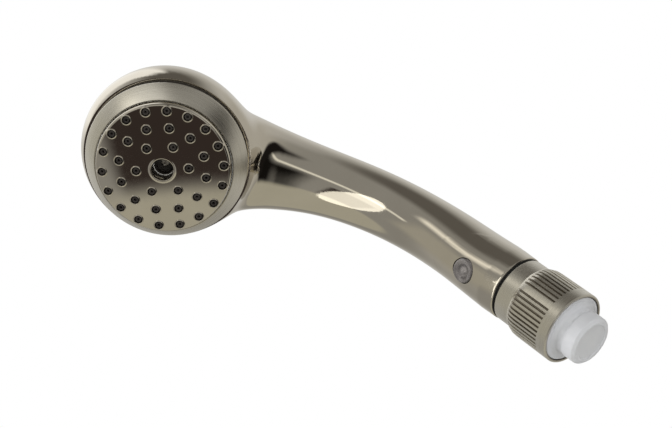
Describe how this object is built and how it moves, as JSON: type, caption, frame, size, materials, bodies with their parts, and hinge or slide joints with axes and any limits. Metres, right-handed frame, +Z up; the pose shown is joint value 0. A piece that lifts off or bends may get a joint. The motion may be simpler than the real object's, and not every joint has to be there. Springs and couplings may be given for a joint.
{
  "type": "handheld shower head",
  "caption": "Telephone-style handheld shower head: arched metal handle with a round tilted spray face, a pause button and a swivelling fluted hose collar with a thread cap.",
  "frame": {"origin": "on the handle's axis where the handle's round end meets the swivel collar, the joint that a wall holder grips", "axes": "+Z up the handle from the hose towards the head, -Y towards the side the spray face and button look to, +X to the right of someone facing +Y; X = 0 is the plane of symmetry"},
  "size_m": [0.0784, 0.1423, 0.2205],
  "materials": {
    "polished_nickel": "polished warm nickel plating",
    "satin_nickel": "satin warm nickel plating",
    "stainless": "bright stainless steel",
    "brass": "machined brass",
    "black_rubber": "soft black elastomer",
    "black_plastic": "moulded acetal",
    "white_plastic": "moulded acetal",
    "smoke_plastic": "smoke grey translucent plastic",
    "milky_cap": "milky soft polyethylene"
  },
  "bodies": {
    "handset": {"handset_body": "polished_nickel", "bezel_ring": "satin_nickel", "spray_plate": "polished_nickel", "nozzle_mat": "black_rubber", "diffuser_plate": "white_plastic", "face_seal": "black_rubber", "chamber_o_ring": "black_rubber", "centre_screw": "stainless", "screw_seal": "black_rubber", "water_tube": "white_plastic", "tube_head_seal": "black_rubber", "tube_base_seal": "black_rubber", "valve_body": "black_plastic", "button_spring": "stainless", "valve_base_seal": "black_rubber", "swivel_post": "brass", "post_o_ring_upper": "black_rubber", "post_o_ring_lower": "black_rubber", "swivel_washer": "black_plastic"},
    "button": {"pause_button": "smoke_plastic", "button_spool": "brass", "spool_seal": "black_rubber"},
    "swivel": {"swivel_collar": "satin_nickel", "inlet_nipple": "brass", "retaining_clip": "stainless", "check_valve_body": "white_plastic", "check_valve_spring": "stainless", "flow_restrictor": "smoke_plastic", "inlet_screen": "stainless"},
    "poppet": {"check_valve_poppet": "black_plastic"},
    "cap": {"thread_cap": "milky_cap"}
  },
  "joints": [
    {"name": "collar_swivel", "type": "hinge", "parent": "handset", "child": "swivel", "pos_m": [0, 0, -0.018], "axis": [0, 0, 1], "continuous": true},
    {"name": "button_press", "type": "slide", "parent": "handset", "child": "button", "axis": [0, 1, 0], "range_m": [0, 0.002], "stiffness_N_per_m": 2000, "springref_m": -0.002, "deforming": ["button_spring"]},
    {"name": "check_lift", "type": "slide", "parent": "swivel", "child": "poppet", "axis": [0, 0, 1], "range_m": [0, 0.002], "stiffness_N_per_m": 120, "springref_m": -0.003, "deforming": ["check_valve_spring"]},
    {"name": "cap_pull", "type": "slide", "parent": "swivel", "child": "cap", "axis": [0, 0, -1], "range_m": [0, 0.025]}
  ]
}
